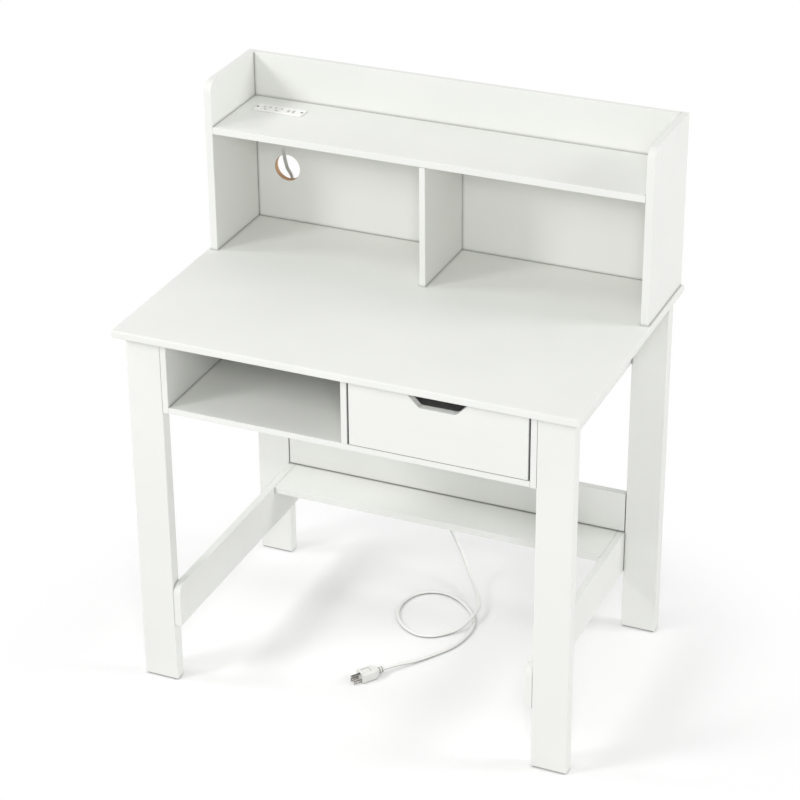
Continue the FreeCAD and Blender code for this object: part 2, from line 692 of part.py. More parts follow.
def make_rollers():
    """Makes the four rollers and the headed axles that carry them."""
    half_gap = size("runner_space") / 2 - size("runner_sheet")
    reach = half_gap + size("roller_width") / 2 + size("axle_fit")
    for side, sign in SIDES:
        make_roller(f"{side}_front_roller", sign, FRONT_ROLLER_Y, FRONT_ROLLER_Z)
        make_roller(f"{side}_rear_roller", sign, REAR_ROLLER_Y, REAR_ROLLER_Z)
        middle = value(BAY_MIDDLE) + sign * value(ROLLER_OFFSET)
        for group, y, z, way in (("channel_axles", FRONT_ROLLER_Y, FRONT_ROLLER_Z, -sign),
                                 ("angle_axles", REAR_ROLLER_Y, REAR_ROLLER_Z, sign)):
            toward = RIGHT * way
            start = Vector(middle, value(y), value(z)) - toward * half_gap
            axle = rod(size("axle_diameter"), reach, start, toward)
            head = rod(size("axle_head_diameter"), size("axle_head_thick"), start + toward * reach, toward)
            add_to(group, axle.fuse(head))


def make_strip():
    """Makes the power strip's plate, housing, outlets, ports, screws and gland."""
    half_length = "sizes.plate_length / 2"
    panel("strip_plate", "XY", rectangle("sizes.plate_length", "sizes.plate_width"), "sizes.plate_thick",
          (f"{STRIP_X} - {half_length}", f"{STRIP_Y} - sizes.plate_width / 2", SHELF_TOP),
          [("plate_corner_radius", along(UP)), ("plate_ease", upper_rim)])
    panel("strip_housing", "XY", rectangle("sizes.housing_length", "sizes.housing_width"),
          "sizes.housing_depth",
          (f"{STRIP_X} - sizes.housing_length / 2", f"{STRIP_Y} - sizes.housing_width / 2",
           f"{SHELF_TOP} - sizes.housing_depth"), [("plate_ease", along(UP))])
    top = Vector(value(STRIP_X), value(STRIP_Y), value(SHELF_TOP))
    gap = size("strip_gap")
    wall = size("housing_wall")
    overrun = size("cut_overrun")
    depth = size("housing_depth")
    cut_from("strip_housing", block_about(top - UP * (depth - wall), size("housing_length") - 2 * wall,
                                          size("housing_width") - 2 * wall, depth - wall + overrun))
    cut_from("hutch_shelf", block_about(top - UP * depth, size("housing_length") + 2 * gap,
                                        size("housing_width") + 2 * gap, depth + overrun))
    for number in range(int(size("outlet_count"))):
        make_outlet(top + RIGHT * (size("outlet_first_offset") + number * size("outlet_pitch")))
    for number in range(int(size("usb_count"))):
        make_port(top + RIGHT * (size("usb_first_offset") + number * size("usb_pitch")))
    reach = size("plate_length") / 2 - size("plate_screw_inset")
    for sign in (-1, 1):
        start = top + RIGHT * (sign * reach) + UP * size("plate_thick")
        screw("plate_screws", "strip_plate", "hutch_shelf", start, -UP, SMALL_SCREW)
    make_gland(f"{SHELF_TOP} - sizes.housing_depth")


def make_outlet(middle):
    """Makes one outlet block with its raised face, two blade slots and an earth slot."""
    face = size("plate_thick") - size("strip_gap")
    width = size("outlet_face_width")
    length = size("outlet_face_length")
    base = size("outlet_base")
    outlet = block_about(middle - UP * size("outlet_block_depth"), base, base, size("outlet_block_depth"))
    outlet = outlet.fuse(block_about(middle, width, length, face))
    deep = size("slot_depth")
    slots_y = size("outlet_slot_offset")
    low = middle + UP * (face - deep)
    tall = deep + size("cut_overrun")
    for sign in (-1, 1):
        spot = low + Vector(sign * size("blade_pitch") / 2, slots_y, 0)
        outlet = outlet.cut(block_about(spot, size("blade_slot_width"), size("blade_slot_length"), tall))
    earth = low + BACK * (slots_y - size("pin_offset"))
    add_to("outlet_faces", outlet.cut(rod(size("earth_slot_diameter"), tall, earth, UP)))
    gap = size("strip_gap")
    window = block_about(middle - UP * size("cut_overrun"), width + gap, length + gap,
                         size("plate_thick") + 2 * size("cut_overrun"))
    cut_from("strip_plate", window)


def make_port(middle):
    """Makes one charging port with its mouth."""
    face = size("plate_thick") - size("strip_gap")
    width = size("usb_face_width")
    length = size("usb_face_length")
    depth = size("outlet_block_depth")
    port = block_about(middle - UP * depth, size("usb_base_width"), size("usb_base_length"), depth)
    port = port.fuse(block_about(middle, width, length, face))
    mouth = block_about(middle + UP * (face - size("slot_depth")), size("usb_mouth_width"),
                        size("usb_mouth_length"), size("slot_depth") + size("cut_overrun"))
    add_to("usb_ports", port.cut(mouth))
    gap = size("strip_gap")
    window = block_about(middle - UP * size("cut_overrun"), width + gap, length + gap,
                         size("plate_thick") + 2 * size("cut_overrun"))
    cut_from("strip_plate", window)


def make_gland(housing_low):
    """Makes the flanged, tapered gland under the housing."""
    flange = doc.addObject("Part::Cylinder", "gland_flange")
    flange.setExpression("Radius", "sizes.gland_flange_diameter / 2")
    flange.setExpression("Height", "sizes.gland_flange_thick")
    place(flange, (GLAND_X, STRIP_Y, f"{housing_low} - sizes.gland_flange_thick"))
    taper = doc.addObject("Part::Cone", "gland_taper")
    taper.setExpression("Radius1", "sizes.gland_low_diameter / 2")
    taper.setExpression("Radius2", "sizes.gland_top_diameter / 2")
    taper.setExpression("Height", "sizes.gland_length - sizes.gland_flange_thick")
    place(taper, (GLAND_X, STRIP_Y, f"{housing_low} - sizes.gland_length"))
    gland = doc.addObject("Part::Fuse", "gland_whole")
    gland.Base = flange
    gland.Tool = taper
    nodes["cord_gland"] = gland


def round_path(route):
    """Turns a route into straight runs joined by arcs as large as the runs allow, and lists the radii."""
    points = [Vector(*point) for point in route]
    runs = []
    radii = []
    start = points[0]
    for before, corner, after in zip(points, points[1:], points[2:]):
        back = before - corner
        ahead = after - corner
        turn = math.pi - back.getAngle(ahead)
        tangent = ARC_SHARE * min(back.Length, ahead.Length)
        radii.append(tangent / math.tan(turn / 2))
        arc_start = corner + back.normalize() * tangent
        arc_end = corner + ahead.normalize() * tangent
        bisector = (back + ahead).normalize()
        inset = radii[-1] * (1 / math.cos(turn / 2) - 1)
        runs.append(Part.LineSegment(start, arc_start).toShape())
        runs.append(Part.Arc(arc_start, corner + bisector * inset, arc_end).toShape())
        start = arc_end
    runs.append(Part.LineSegment(start, points[-1]).toShape())
    return runs, radii


def tube(label, edges):
    """Sweeps the cord's round section along part of its path and compares the volume."""
    wire = Part.Wire(edges)
    first = edges[0]
    heading = first.tangentAt(first.FirstParameter)
    radius = size("cord_diameter") / 2
    section = Part.Wire(Part.Circle(first.valueAt(first.FirstParameter), heading, radius).toShape())
    shape = wire.makePipeShell([section], True, True)
    expected = math.pi * radius ** 2 * wire.Length
    share = shape.Volume / expected
    print(f"{label}: {wire.Length:.1f} mm long, {share:.5f} of its section times its length")
    node = doc.addObject("Part::Feature", f"{label}_tube")
    node.Shape = shape
    nodes[label] = node


def least_gap(edges):
    """Gives the least clear gap between two stretches of the cord, on points half a diameter apart."""
    diameter = size("cord_diameter")
    points = Part.Wire(edges).discretize(Distance=diameter / 2)
    spans = [point.distanceToPoint(other) for index, point in enumerate(points)
             for other in points[index + NEAR_POINT_COUNT:]]
    return min(spans) - diameter


def make_cord():
    """Makes the cord in two lengths that meet face to face behind the foot board."""
    edges, radii = round_path(CORD_ROUTE)
    print("cord radii:", " ".join(f"{radius:.0f}" for radius in radii))
    print(f"cord's least gap to itself: {least_gap(edges):.1f} mm")
    split = 2 * CORD_DROP_RUN_COUNT
    run = edges[split]
    start = run.valueAt(run.FirstParameter)
    end = run.valueAt(run.LastParameter)
    middle = (start + end) * MIDDLE_SHARE
    tube("cord_drop", edges[:split] + [Part.LineSegment(start, middle).toShape()])
    tube("cord_lay", [Part.LineSegment(middle, end).toShape()] + edges[split + 1:])


def section_wire(x, width, height):
    """Makes a rectangle with round corners across the plug's axis."""
    radius = size("plug_round")
    prism = Part.makeBox(radius, width, height, Vector(x, -width / 2, -height / 2))
    prism = prism.makeFillet(radius, [edge for edge in prism.Edges if is_along(edge, RIGHT)])
    return next(face.OuterWire for face in prism.Faces if abs(face.CenterOfMass.x - x) < NEAR_ZERO)


def make_plug():
    """Makes the plug on the cord's end: ribbed relief, body, two blades and the earth pin."""
    end = Vector(*CORD_ROUTE[-1])
    axis = end - Vector(*CORD_ROUTE[-2])
    seat = FreeCAD.Placement(end, FreeCAD.Rotation(RIGHT, axis))
    relief = size("relief_length")
    body_start = relief
    ring_depth = size("relief_ring_depth")
    radius = size("relief_diameter") / 2
    boot = Part.makeCone(radius - ring_depth, radius, relief, Vector(), RIGHT)
    count = int(size("relief_ring_count"))
    ring = relief / (2 * count + 1)
    for number in range(count):
        x = ring * (2 * number + 1)
        outer = rod(2 * radius + 2 * size("cut_overrun"), ring, RIGHT * x, RIGHT)
        core = rod(2 * (radius - 2 * ring_depth), ring, RIGHT * x, RIGHT)
        boot = boot.cut(outer.cut(core))
    tail = size("plug_tail_width")
    shoulder = body_start + size("plug_tail_length")
    front = body_start + size("plug_length")
    wide = size("plug_width")
    tall = size("plug_height")
    sections = [section_wire(body_start, tail, tail), section_wire(shoulder, wide, tall),
                section_wire(front, wide, tall)]
    shell = Part.makeLoft(sections, True, True)
    for outward in (UP, -UP):
        grip_middle = RIGHT * ((shoulder + front) / 2) + outward * (tall / 2)
        shell = shell.cut(slot(grip_middle, -outward, RIGHT, size("grip_length"), size("grip_width"),
                               size("grip_depth")))
    blades = []
    for sign in (-1, 1):
        low = Vector(front, sign * size("blade_pitch") / 2 - size("blade_thick") / 2,
                     -size("blade_drop") - size("blade_width") / 2)
        blade = Part.makeBox(size("blade_length"), size("blade_thick"), size("blade_width"), low)
        hole_x = front + size("blade_length") - size("blade_hole_inset")
        spot = Vector(hole_x, low.y - size("cut_overrun"), -size("blade_drop"))
        through = size("blade_thick") + 2 * size("cut_overrun")
        blades.append(blade.cut(rod(size("blade_hole_diameter"), through, spot, BACK)))
    pin = rod(size("pin_diameter"), size("pin_length"),
              Vector(front, 0, size("pin_offset") - size("blade_drop")), RIGHT)
    tip = [edge for edge in pin.Edges if edge.CenterOfMass.x > front + size("pin_length") - NEAR_ZERO]
    pin = pin.makeChamfer(size("pin_chamfer"), tip)
    pieces = {"plug_relief": boot, "plug_body": shell, "plug_blades": Part.makeCompound(blades),
              "plug_earth_pin": pin}
    for label, shape in pieces.items():
        node = doc.addObject("Part::Feature", f"{label}_shape")
        node.Shape = shape
        node.Placement = seat
        nodes[label] = node


def fasten_sides():
    """Sets the dowels and cams of the side panels, legs, rails and glides."""
    front = value(LEG_FRONT)
    rear = value(LEG_REAR)
    under = value(TOP_UNDER)
    half_leg = size("leg_depth") / 2
    for side, sign in SIDES:
        out = RIGHT * sign
        board = f"{side}_side_panel"
        inner = sign * value(BOX_INNER)
        joint = sign * value(LEG_INNER)
        for y in spots(front, rear, PAIR_SHARES):
            dowel("dowels", board, "desktop", Vector((inner + joint) / 2, y, under), UP)
        for y in spots(front, rear, INNER_PAIR_SHARES):
            spot = Vector(inner, y, under - size("cam_reach"))
            cam("", board, "desktop", spot, out, UP, size("panel_thick"))
        for end, y in (("front", front + half_leg), ("rear", rear - half_leg)):
            leg = f"{end}_{side}_leg"
            middle = sign * (value(LEG_INNER) + value(LEG_OUTER)) / 2
            dowel("dowels", leg, "desktop", Vector(middle, y, under), UP)
            for z in spots(value(BOX_LOW), under, PAIR_SHARES):
                dowel("dowels", leg, board, Vector(joint, y, z), -out)
            for z in spots(size("rail_top") - size("rail_height"), size("rail_top"), PAIR_SHARES):
                dowel("dowels", leg, f"{side}_rail", Vector(joint, y, z), -out)
            make_glide(leg, Vector(middle, y, 0))


def make_glide(leg, spot):
    """Makes the plastic glide under a leg, with the pin that holds it."""
    margin = 2 * size("glide_margin")
    pad = block_about(spot, size("leg_width") - margin, size("leg_depth") - margin, size("glide_thick"))
    seat = spot + UP * size("glide_thick")
    add_to("leg_glides", pad.fuse(rod(size("glide_pin_diameter"), size("glide_pin_length"), seat, UP)))
    hole = size("glide_pin_diameter") + size("fastener_fit")
    bore(leg, hole, size("glide_pin_length") + size("end_gap"), seat, UP)


def fasten_box():
    """Sets the cams, dowels, screws and nails of the box and the lower boards."""
    front = value(LEG_FRONT)
    rear = value(BOX_REAR)
    low = value(BOX_LOW)
    inner = value(BOX_INNER)
    rail_inner = value(RAIL_INNER)
    floor_thick = size("box_floor_thick")
    foot_rear = value(BACK_BOARD_REAR)
    cam_y, dowel_y = spots(foot_rear - size("foot_depth"), foot_rear, INNER_PAIR_SHARES)
    board_low = value(BACK_BOARD_LOW)
    cam_z, dowel_z = spots(board_low, board_low + size("back_board_height"), INNER_PAIR_SHARES)
    board_end = value(LEG_INNER) - size("back_board_gap")
    for side, sign in SIDES:
        out = RIGHT * sign
        for y in spots(front, rear, PAIR_SHARES):
            spot = Vector(sign * (inner - size("cam_reach")), y, low)
            cam("", "box_floor", f"{side}_side_panel", spot, UP, out, floor_thick)
        middle = spots(front, rear, [MIDDLE_SHARE])[0]
        spot = Vector(sign * inner, middle, low + floor_thick / 2)
        dowel("dowels", "box_floor", f"{side}_side_panel", spot, out)
        foot_low = size("rail_top") - size("foot_thick")
        spot = Vector(sign * (rail_inner - size("cam_reach")), cam_y, foot_low)
        cam("", "foot_board", f"{side}_rail", spot, UP, out, size("foot_thick"))
        dowel("dowels", "foot_board", f"{side}_rail",
              Vector(sign * rail_inner, dowel_y, foot_low + size("foot_thick") / 2), out)
        cam("", "back_board", f"rear_{side}_leg",
            Vector(sign * (board_end - size("cam_reach")), value(BACK_BOARD_REAR), cam_z), -BACK, out,
            size("back_board_thick"))
        dowel("dowels", "back_board", f"rear_{side}_leg",
              Vector(sign * board_end, value(BACK_BOARD_REAR) - size("back_board_thick") / 2, dowel_z), out)
    for y in spots(front, rear, PAIR_SHARES):
        dowel("dowels", "centre_divider", "desktop", Vector(0, y, value(TOP_UNDER)), UP)
    for y in spots(front, rear, INNER_PAIR_SHARES):
        screw("board_screws", "box_floor", "centre_divider", Vector(0, y, low), UP, WOOD_SCREW)
    nail_y = rear + size("box_back_thick")
    for x in spots(-inner, inner, TRIPLE_SHARES):
        spot = Vector(x, nail_y, low + floor_thick / 2)
        screw("back_nails", "box_back", "box_floor", spot, -BACK, NAIL, False)
    for z in spots(value(BOX_FLOOR), value(TOP_UNDER), PAIR_SHARES):
        screw("back_nails", "box_back", "centre_divider", Vector(0, nail_y, z), -BACK, NAIL, False)


def fasten_hutch():
    """Sets the dowels, cams and screws of the hutch."""
    desk = size("desk_height")
    front = value(HUTCH_FRONT)
    back_front = value(HUTCH_BACK_FRONT)
    rear = value(HALF_DEPTH)
    inner = value(HUTCH_INNER)
    back_middle = (back_front + rear) / 2
    for side, sign in SIDES:
        out = RIGHT * sign
        board = f"hutch_{side}_side"
        middle_x = sign * (inner + value(HUTCH_OUTER)) / 2
        for y in spots(front, rear, PAIR_SHARES):
            dowel("dowels", board, "desktop", Vector(middle_x, y, desk), -UP)
        middle_y = spots(front, rear, [MIDDLE_SHARE])[0]
        screw("board_screws", "desktop", board, Vector(middle_x, middle_y, value(TOP_UNDER)), UP, WOOD_SCREW)
        for z in spots(desk, desk + size("hutch_height"), PAIR_SHARES):
            dowel("dowels", "hutch_back", board, Vector(sign * inner, back_middle, z), out)
        for y in spots(front, back_front, PAIR_SHARES):
            spot = Vector(sign * (inner - size("cam_reach")), y, value(SHELF_UNDER))
            cam("", "hutch_shelf", board, spot, UP, out, size("shelf_thick"))
        shelf_middle = (value(SHELF_UNDER) + value(SHELF_TOP)) / 2
        dowel("dowels", "hutch_shelf", board,
              Vector(sign * inner, spots(front, back_front, [MIDDLE_SHARE])[0], shelf_middle), out)
    for x in spots(-inner, inner, TRIPLE_SHARES):
        dowel("dowels", "hutch_back", "desktop", Vector(x, back_middle, desk), -UP)
        dowel("dowels", "hutch_shelf", "hutch_back", Vector(x, back_front, shelf_middle), BACK)
    for y in spots(front, back_front, PAIR_SHARES):
        dowel("dowels", "hutch_divider", "desktop", Vector(0, y, desk), -UP)
        dowel("dowels", "hutch_divider", "hutch_shelf", Vector(0, y, value(SHELF_UNDER)), UP)


def fasten_drawer():
    """Sets the drawer's cams, dowels and screws, and the screws of the runners."""
    low = value(DRAWER_LOW)
    high = low + size("drawer_side_height")
    front = value(FRONT_REAR)
    thick = size("drawer_side_thick")
    back_middle = value(DRAWER_REAR) - thick / 2
    middle = value(BAY_MIDDLE)
    for side, sign in SIDES:
        out = RIGHT * sign
        board = f"drawer_{side}_side"
        inner = middle + sign * value(DRAWER_INNER_HALF)
        outer = middle + sign * value(DRAWER_HALF)
        centre = (inner + outer) / 2
        cam_z = spots(low, high, [MIDDLE_SHARE])[0]
        spot = Vector(inner, front + size("cam_reach"), cam_z)
        cam("drawer_", board, "drawer_front", spot, out, -BACK, thick)
        for z in spots(low, high, PAIR_SHARES):
            dowel("drawer_dowels", board, "drawer_front", Vector(centre, front, z), -BACK)
            screw("drawer_screws", board, "drawer_back", Vector(outer, back_middle, z), -out, WOOD_SCREW)
        angle_start = front + size("end_gap")
        for y in spots(angle_start, angle_start + value(RUNNER_LENGTH), PAIR_SHARES):
            spot = Vector(centre, y, low - size("runner_sheet"))
            screw("angle_screws", f"{side}_runner_angle", board, spot, UP, SMALL_SCREW, False)
        wall = "centre_divider" if sign < 0 else "right_side_panel"
        wall_x = middle + sign * (value(DRAWER_HALF) + size("runner_space"))
        channel_start = value(LEG_FRONT) + size("runner_setback")
        screw_z = value(BOX_FLOOR) + size("channel_low_gap") + CHANNEL_SCREW_SHARE * size("channel_height")
        for y in spots(channel_start, channel_start + value(RUNNER_LENGTH), PAIR_SHARES):
            spot = Vector(wall_x - sign * size("runner_sheet"), y, screw_z)
            screw("channel_screws", f"{side}_runner_channel", wall, spot, out, SMALL_SCREW, False)


def finish():
    """Cuts the noted holes, gathers the groups, checks every shape and writes the parts."""
    for label, shapes in cuts.items():
        tool = doc.addObject("Part::Feature", f"{label}_cut_shapes")
        tool.Shape = shapes[0].multiFuse(shapes[1:]) if len(shapes) > 1 else shapes[0]
        cut = doc.addObject("Part::Cut", f"{label}_cut")
        cut.Base = nodes[label]
        cut.Tool = tool
        nodes[label] = cut
    for label, solids in groups.items():
        group = doc.addObject("Part::Feature", f"{label}_group")
        group.Shape = Part.makeCompound(solids)
        nodes[label] = group
    doc.recompute()
    for item in doc.Objects:
        if "Invalid" in item.State or "Error" in item.State:
            raise RuntimeError(f"{item.Name} failed: {item.State}")
    os.makedirs("parts", exist_ok=True)
    for label, node in nodes.items():
        node.Label = label
        shape = node.Shape
        if shape.isNull() or not shape.isValid() or not shape.Solids:
            raise RuntimeError(f"{label} has no valid solid")
        shape.exportStep(f"parts/{label}.step")
    print(len(nodes), "nodes")


make_desk()
make_hutch()
make_drawer()
make_runners()
make_rollers()
make_strip()
make_cord()
make_plug()
fasten_sides()
fasten_box()
fasten_hutch()
fasten_drawer()
finish()
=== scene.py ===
"""A white student desk with a hutch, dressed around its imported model.

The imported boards, runners, strip and plug take their finishes, the mains cord is drawn as one smooth line, and a
studio and a camera show the desk as the photograph does.
"""

from __future__ import annotations

import logging
import math
from dataclasses import dataclass, replace
from enum import Enum, IntEnum
from functools import cache
from typing import Any

import bpy
from mathutils import Matrix, Vector


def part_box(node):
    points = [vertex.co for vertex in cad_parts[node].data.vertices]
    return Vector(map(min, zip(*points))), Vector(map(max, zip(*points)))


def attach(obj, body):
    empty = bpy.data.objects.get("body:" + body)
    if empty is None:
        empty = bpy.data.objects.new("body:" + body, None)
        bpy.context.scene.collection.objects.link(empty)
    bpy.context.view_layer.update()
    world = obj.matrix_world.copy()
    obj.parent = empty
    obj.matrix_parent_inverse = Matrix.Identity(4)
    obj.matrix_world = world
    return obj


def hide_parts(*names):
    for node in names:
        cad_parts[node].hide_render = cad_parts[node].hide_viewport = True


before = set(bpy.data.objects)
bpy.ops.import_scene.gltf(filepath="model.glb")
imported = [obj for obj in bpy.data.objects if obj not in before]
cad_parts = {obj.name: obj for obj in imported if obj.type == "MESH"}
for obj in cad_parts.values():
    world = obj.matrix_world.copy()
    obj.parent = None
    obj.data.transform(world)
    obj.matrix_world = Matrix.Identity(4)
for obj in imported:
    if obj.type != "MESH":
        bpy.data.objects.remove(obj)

MM: float = 0.001
LOG: logging.Logger = logging.getLogger("student_desk")

Colour = tuple[float, float, float, float]
Point = tuple[float, float, float]
Node = bpy.types.Node
Socket = bpy.types.NodeSocket
Tree = bpy.types.NodeTree

WHITE: Colour = (1.0, 1.0, 1.0, 1.0)
EVEN: Point = (1.0, 1.0, 1.0)

# The curve that sRGB values follow, once their bytes are shares of the top one: straight below the break, a
# power above it.
BYTE_TOP: int = 255
SRGB_BREAK: float = 0.04045
SRGB_SLOPE: float = 12.92
SRGB_OFFSET: float = 0.055
SRGB_POWER: float = 2.4

# Nearly all of a noise pattern's values lie between these.
PATTERN_LOW: float = 0.3
PATTERN_HIGH: float = 0.7

# Rays that feel for an inner corner at each point, for the painted shade in corners.
CORNER_RAYS: int = 6


class Body(Enum):
    """The body that the cord rides on."""

    DESK = "desk"


class Mix(IntEnum):
    """The colour mixer's sockets, which have no names of their own: three inputs and the output."""

    SHARE = 0
    FIRST = 6
    SECOND = 7
    RESULT = 2


def linear(hex_colour: str) -> Colour:
    """Turns an sRGB hex value into a linear colour.

    Args:
        hex_colour: Six hex digits after a hash sign.

    Returns:
        Linear red, green and blue, with an alpha of one.
    """
    channels: list[float] = []
    for value in bytes.fromhex(hex_colour[1:]):
        part = value / BYTE_TOP
        if part <= SRGB_BREAK:
            channels.append(part / SRGB_SLOPE)
        else:
            channels.append(((part + SRGB_OFFSET) / (1 + SRGB_OFFSET)) ** SRGB_POWER)
    return channels[0], channels[1], channels[2], 1.0


def add_node(tree: Tree, kind: str, inputs: dict[Any, Any] | None = None, **settings: Any) -> Node:
    """Adds a shader node with its settings, socket values and links.

    Args:
        tree: The node tree that takes the node.
        kind: The node's type name.
        inputs: Socket name or number to a value, or to an output socket that feeds it.
        settings: Attributes of the node itself.

    Returns:
        The new node.
    """
    node = tree.nodes.new(kind)
    for name, setting in settings.items():
        setattr(node, name, setting)
    for socket, value in (inputs or {}).items():
        if isinstance(value, Socket):
            tree.links.new(value, node.inputs[socket])
        else:
            node.inputs[socket].default_value = value
    return node


@dataclass(frozen=True)
class Finish:
    """A real material's surface: what it is made of and how it was made smooth or rough."""

    name: str
    colour: str
    roughness: float
    ior: float = 1.5
    metallic: float = 0.0
    gloss_swing: float = 0.05

    def build(self) -> bpy.types.Material:
        """Makes the material with its shader and pattern.

        Returns:
            The finished material.
        """
        material = bpy.data.materials.new(self.name)
        material.use_nodes = True
        tree = material.node_tree
        tree.nodes.clear()
        shader = add_node(tree, "ShaderNodeBsdfPrincipled", {
            "Base Color": linear(self.colour), "Roughness": self.roughness, "Metallic": self.metallic,
        })
        if not self.metallic:
            shader.inputs["IOR"].default_value = self.ior
        add_node(tree, "ShaderNodeOutputMaterial", {"Surface": shader.outputs["BSDF"]})
        self.pattern(tree, shader)
        return material

    def pattern(self, tree: Tree, shader: Node) -> None:
        """Adds the finish's own pattern to its shader.

        Args:
            tree: The material's node tree.
            shader: The surface shader.
        """

    def place(self, tree: Tree) -> Socket:
        """Gives the place on the piece, in metres, as the pattern's coordinates."""
        return add_node(tree, "ShaderNodeTexCoord").outputs["Object"]

    def rise(self, tree: Tree) -> Socket:
        """Gives how far the surface faces up: one on a level top, minus one on a level underside."""
        facing = add_node(tree, "ShaderNodeTexCoord").outputs["Normal"]
        return add_node(tree, "ShaderNodeSeparateXYZ", {0: facing}).outputs["Z"]

    def grain(self, tree: Tree, size_mm: float, detail: float, stretch: Point = EVEN) -> Socket:
        """Adds an uneven pattern of a real size.

        Args:
            tree: The material's node tree.
            size_mm: The width of one grain in millimetres.
            detail: How much finer detail lies in each grain.
            stretch: How much finer the grain is along each axis.

        Returns:
            The pattern's value, about a half on average.
        """
        spread = add_node(tree, "ShaderNodeVectorMath", {0: self.place(tree), 1: stretch}, operation="MULTIPLY")
        noise = add_node(tree, "ShaderNodeTexNoise", {
            "Vector": spread.outputs[0], "Scale": 1 / (size_mm * MM), "Detail": detail,
        })
        return noise.outputs["Fac"]

    def vary(self, tree: Tree, shader: Node, value: Socket, dark: str) -> None:
        """Lets a pattern shift the shader's colour and roughness a little.

        Args:
            tree: The material's node tree.
            shader: The surface shader.
            value: The pattern, which gives the finish's own colour at its high end.
            dark: The colour at its low end.
        """
        tone = add_node(tree, "ShaderNodeMix", {
            Mix.SHARE: value, Mix.FIRST: linear(dark), Mix.SECOND: linear(self.colour),
        }, data_type="RGBA")
        rough = add_node(tree, "ShaderNodeMapRange", {
            "Value": value, "From Min": PATTERN_LOW, "From Max": PATTERN_HIGH,
            "To Min": self.roughness - self.gloss_swing, "To Max": self.roughness + self.gloss_swing,
        })
        tree.links.new(tone.outputs[Mix.RESULT], shader.inputs["Base Color"])
        tree.links.new(rough.outputs["Result"], shader.inputs["Roughness"])

    def turn(self, tree: Tree, shader: Node, share: Socket, tone: Colour | Socket) -> None:
        """Turns the colour that the shader has so far toward another tone, in some places.

        Args:
            tree: The material's node tree.
            shader: The surface shader.
            share: One where the other tone is full, and zero where there is none of it.
            tone: The other tone, or a pattern of tones.
        """
        plain = shader.inputs["Base Color"].links[0].from_socket
        mixed = add_node(tree, "ShaderNodeMix", {
            Mix.SHARE: share, Mix.FIRST: plain, Mix.SECOND: tone,
        }, data_type="RGBA")
        tree.links.new(mixed.outputs[Mix.RESULT], shader.inputs["Base Color"])

    def paint_corner_shade(self, tree: Tree, shader: Node, tone: str, reach_mm: float) -> None:
        """Paints shade: turns the colour toward a darker tone in the inner corners.

        Args:
            tree: The material's node tree.
            shader: The surface shader.
            tone: The painted shade deep in a corner.
            reach_mm: How far from a corner the tone reaches, in millimetres.
        """
        # Painted shade: the less open the surroundings, the darker the colour.
        room = add_node(tree, "ShaderNodeAmbientOcclusion", {"Distance": reach_mm * MM}, samples=CORNER_RAYS)
        shut = add_node(tree, "ShaderNodeMath", {0: 1.0, 1: room.outputs["AO"]}, operation="SUBTRACT")
        self.turn(tree, shader, shut.outputs[0], linear(tone))

    def emboss(self, tree: Tree, shader: Node, height: Socket, depth_mm: float, share: float) -> None:
        """Lets a pattern raise and lower the surface.

        Args:
            tree: The material's node tree.
            shader: The surface shader.
            height: The pattern.
            depth_mm: The height of its relief in millimetres.
            share: The share of that relief that shows.
        """
        bump = add_node(tree, "ShaderNodeBump", {
            "Height": height, "Distance": depth_mm * MM, "Strength": share,
        })
        tree.links.new(bump.outputs["Normal"], shader.inputs["Normal"])


@dataclass(frozen=True)
class SatinLacquer(Finish):
    """White lacquer sprayed on sanded fibreboard.

    Spraying leaves a faint orange peel, about 2 mm from crest to crest, which the eye reads as a soft satin sheen.
    At this distance that is finer than a picture point, so the peel is drawn 9 mm wide. The inner corners are
    painted grey, as shade.
    """

    gloss_swing: float = 0.04
    shade: str = "#E5E6E2"
    cloud_mm: float = 160.0
    cloud_detail: float = 2.0
    peel_mm: float = 9.0
    peel_detail: float = 1.0
    peel_depth_mm: float = 0.05
    peel_share: float = 0.25
    # Painted shade: the grey that darkens the inner corners, and how far from a corner it reaches.
    corner_shade: str = "#8E8F8B"
    corner_shade_mm: float = 6.0

    def pattern(self, tree: Tree, shader: Node) -> None:
        """Adds the cloudy tone of a sprayed coat, painted shade in its inner corners and its orange peel.

        Args:
            tree: The material's node tree.
            shader: The surface shader.
        """
        self.vary(tree, shader, self.grain(tree, self.cloud_mm, self.cloud_detail), self.shade)
        self.paint_corner_shade(tree, shader, self.corner_shade, self.corner_shade_mm)
        peel = self.grain(tree, self.peel_mm, self.peel_detail)
        self.emboss(tree, shader, peel, self.peel_depth_mm, self.peel_share)


@dataclass(frozen=True)
class DrilledLacquer(SatinLacquer):
    """The same lacquer on a board with a drilled hole, whose wall shows the brown raw fibreboard."""

    hole_centre: Point = (0.0, 0.0, 0.0)
    hole_radius: float = 0.0
    hole_plane: Point = (1.0, 0.0, 1.0)
    rim_mm: float = 0.4
    fibre: str = "#CDA880"
    dark_fibre: str = "#A98058"
    fibre_mm: float = 1.6
    fibre_detail: float = 4.0

    def pattern(self, tree: Tree, shader: Node) -> None:
        """Adds the lacquer's pattern, and the speckled brown of the bare wall inside the hole.

        Args:
            tree: The material's node tree.
            shader: The surface shader.
        """
        super().pattern(tree, shader)
        offset = add_node(tree, "ShaderNodeVectorMath", {
            0: self.place(tree), 1: self.hole_centre,
        }, operation="SUBTRACT")
        across = add_node(tree, "ShaderNodeVectorMath", {
            0: offset.outputs[0], 1: self.hole_plane,
        }, operation="MULTIPLY")
        reach = add_node(tree, "ShaderNodeVectorMath", {0: across.outputs[0]}, operation="LENGTH")
        wall = add_node(tree, "ShaderNodeMath", {
            0: reach.outputs["Value"], 1: self.hole_radius + self.rim_mm * MM,
        }, operation="LESS_THAN")
        raw = add_node(tree, "ShaderNodeMix", {
            Mix.SHARE: self.grain(tree, self.fibre_mm, self.fibre_detail),
            Mix.FIRST: linear(self.dark_fibre), Mix.SECOND: linear(self.fibre),
        }, data_type="RGBA")
        self.turn(tree, shader, wall.outputs[0], raw.outputs[Mix.RESULT])


